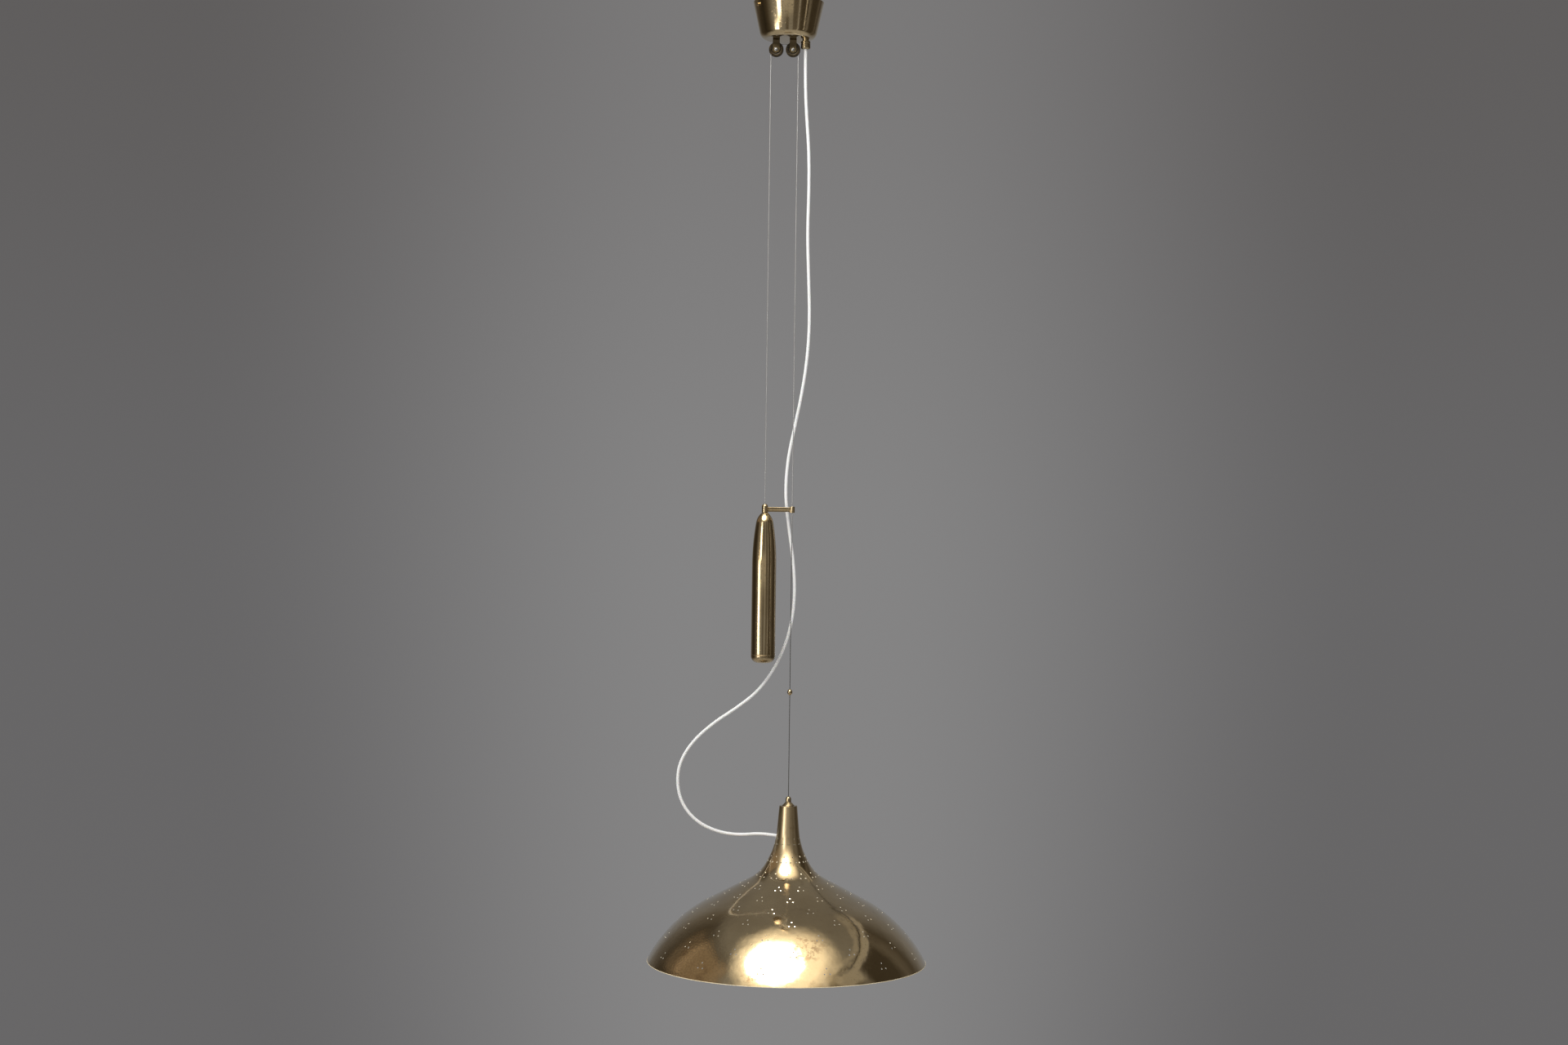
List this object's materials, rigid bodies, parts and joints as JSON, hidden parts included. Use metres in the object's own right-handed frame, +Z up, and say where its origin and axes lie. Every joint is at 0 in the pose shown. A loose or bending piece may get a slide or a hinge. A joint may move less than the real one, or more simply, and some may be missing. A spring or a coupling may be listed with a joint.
{
  "type": "adjustable ceiling light",
  "caption": "Brass pendant with a bell shade and a counterweight on one wire over pulleys under a ceiling canopy, so the lamp slides up and down; a loose white cord feeds it.",
  "frame": {"origin": "on the ceiling plane at the canopy's axis, centre of the bracket's screw circle", "axes": "+Z up into the ceiling, the light hangs along -Z; +X from the counterweight towards the lamp's wire; the front of the picture looks along +Y"},
  "size_m": [0.48, 0.48, 1.6485],
  "materials": {
    "polished_brass": "polished",
    "steel": "satin",
    "white_cord": "satin",
    "white_plastic": "satin",
    "core_insulation": "gloss",
    "black_rubber": "matte",
    "dark_plastic": "satin",
    "porcelain": "gloss",
    "iron": "matte",
    "bulb_metal": "satin",
    "opal_glass": "gloss"
  },
  "bodies": {
    "ceiling": {"ceiling_bracket": "steel", "canopy": "polished_brass", "canopy_screws": "polished_brass", "terminal_block": "white_plastic", "terminal_screws": "steel", "block_screw": "steel", "earth_screw": "steel", "left_pulley_fork": "polished_brass", "right_pulley_fork": "polished_brass", "left_pulley_axle": "steel", "right_pulley_axle": "steel", "fork_screws": "steel", "fork_washers": "steel", "fork_nuts": "steel", "gland_body": "polished_brass", "gland_nut": "polished_brass", "gland_seal": "black_rubber", "gland_locknut": "polished_brass", "cord_canopy_end": "white_cord", "canopy_cores": "core_insulation", "supply_cord": "white_cord", "pulley_wire": "steel", "counterweight_wire": "steel", "lamp_wire": "steel"},
    "left_pulley": {"left_pulley_wheel": "polished_brass"},
    "right_pulley": {"right_pulley_wheel": "polished_brass"},
    "counterweight": {"counterweight_casing": "polished_brass", "counterweight_ballast": "iron", "counterweight_cap": "polished_brass", "counterweight_set_screw": "steel", "guide_post": "polished_brass", "guide_arm": "polished_brass", "guide_eye": "polished_brass", "counterweight_wire_end": "steel", "counterweight_ferrule": "steel"},
    "lamp": {"stop_bead": "polished_brass", "stop_bead_screw": "steel", "lamp_wire_tail": "steel", "lamp_ferrule": "steel", "hanger_nipple": "polished_brass", "neck_cap": "polished_brass", "holder_stem": "steel", "stem_washer": "steel", "stem_nut": "steel", "shade": "polished_brass", "cord_grommet": "white_plastic", "cord_lamp_end": "white_cord", "lamp_cores": "core_insulation", "holder_cap": "dark_plastic", "holder_shell": "dark_plastic", "holder_insert": "porcelain", "holder_thread": "polished_brass", "holder_contact": "polished_brass", "bulb_base": "bulb_metal", "bulb_glass": "opal_glass"}
  },
  "joints": [
    {"name": "lamp_height", "type": "slide", "parent": "ceiling", "child": "lamp", "axis": [0, 0, 1], "range_m": [-0.2, 0.15], "deforming": ["lamp_wire", "supply_cord"]},
    {"name": "counterweight_travel", "type": "slide", "parent": "ceiling", "child": "counterweight", "axis": [0, 0, 1], "range_m": [-0.15, 0.2], "deforming": ["counterweight_wire"]},
    {"name": "left_pulley_turn", "type": "hinge", "parent": "ceiling", "child": "left_pulley", "pos_m": [-0.0205, 0, -0.0805], "axis": [0, -1, 0], "range_deg": [-1280, 960]},
    {"name": "right_pulley_turn", "type": "hinge", "parent": "ceiling", "child": "right_pulley", "pos_m": [0.0085, 0, -0.0805], "axis": [0, -1, 0], "range_deg": [-1280, 960]}
  ],
  "couplings": [
    {"joint": "counterweight_travel", "follows": "lamp_height", "ratio": -1},
    {"joint": "left_pulley_turn", "follows": "lamp_height", "rad_per_m": 111.11},
    {"joint": "right_pulley_turn", "follows": "lamp_height", "rad_per_m": 111.11}
  ]
}
